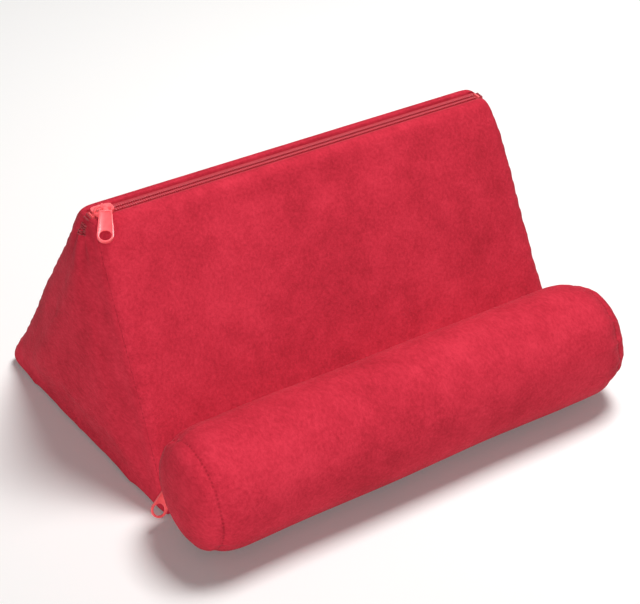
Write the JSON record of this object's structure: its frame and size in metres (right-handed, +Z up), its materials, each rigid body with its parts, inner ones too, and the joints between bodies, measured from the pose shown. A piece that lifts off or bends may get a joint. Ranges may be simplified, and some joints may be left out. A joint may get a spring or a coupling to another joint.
{
  "type": "tablet cushion stand",
  "caption": "Soft wedge stand with a padded roll along its front edge that holds a tablet or book upright; both covers close with a zip.",
  "frame": {"origin": "middle of the stand's footprint, on the surface it rests on", "axes": "+Z up, the roll at -Y, +X to the right seen from the front"},
  "size_m": [0.2992, 0.2365, 0.1508],
  "materials": {
    "velvet": "short-pile red velvet",
    "zip_tape": "woven red tape",
    "zip_teeth": "moulded red plastic",
    "painted_metal": "coral pink lacquer",
    "foam": "open-cell foam",
    "filling": "polyester fibre"
  },
  "bodies": {
    "cover": {"foam_wedge": "foam", "front_panel": "velvet", "back_panel": "velvet", "base_panel": "velvet", "left_end_panel": "velvet", "right_end_panel": "velvet", "roll_sleeve": "velvet", "roll_left_cap": "velvet", "roll_right_cap": "velvet", "roll_filling": "filling", "joining_strip": "velvet", "ridge_zip_front_tape": "zip_tape", "ridge_zip_back_tape": "zip_tape", "ridge_zip_front_teeth": "zip_teeth", "ridge_zip_back_teeth": "zip_teeth", "ridge_zip_left_stop": "painted_metal", "ridge_zip_right_stop": "painted_metal", "roll_zip_upper_tape": "zip_tape", "roll_zip_lower_tape": "zip_tape", "roll_zip_upper_teeth": "zip_teeth", "roll_zip_lower_teeth": "zip_teeth", "roll_zip_left_stop": "painted_metal", "roll_zip_right_stop": "painted_metal"},
    "ridge_slider": {"ridge_zip_slider": "painted_metal"},
    "ridge_pull": {"ridge_zip_pull": "painted_metal"},
    "roll_slider": {"roll_zip_slider": "painted_metal"},
    "roll_pull": {"roll_zip_pull": "painted_metal"}
  },
  "joints": [
    {"name": "ridge_slide", "type": "slide", "parent": "cover", "child": "ridge_slider", "axis": [1, 0, 0], "range_m": [0, 0.2404]},
    {"name": "ridge_pull_hinge", "type": "hinge", "parent": "ridge_slider", "child": "ridge_pull", "pos_m": [-0.1204, 0.022, 0.1494], "axis": [0.8796, -0.4756, 0], "range_deg": [-150, 0]},
    {"name": "roll_slide", "type": "slide", "parent": "cover", "child": "roll_slider", "axis": [1, 0, 0], "range_m": [0, 0.2458]},
    {"name": "roll_pull_swivel", "type": "hinge", "parent": "roll_slider", "child": "roll_pull", "pos_m": [-0.1281, -0.05633, 0.02177], "axis": [0, 0.878, -0.4787], "range_deg": [0, 40]}
  ]
}
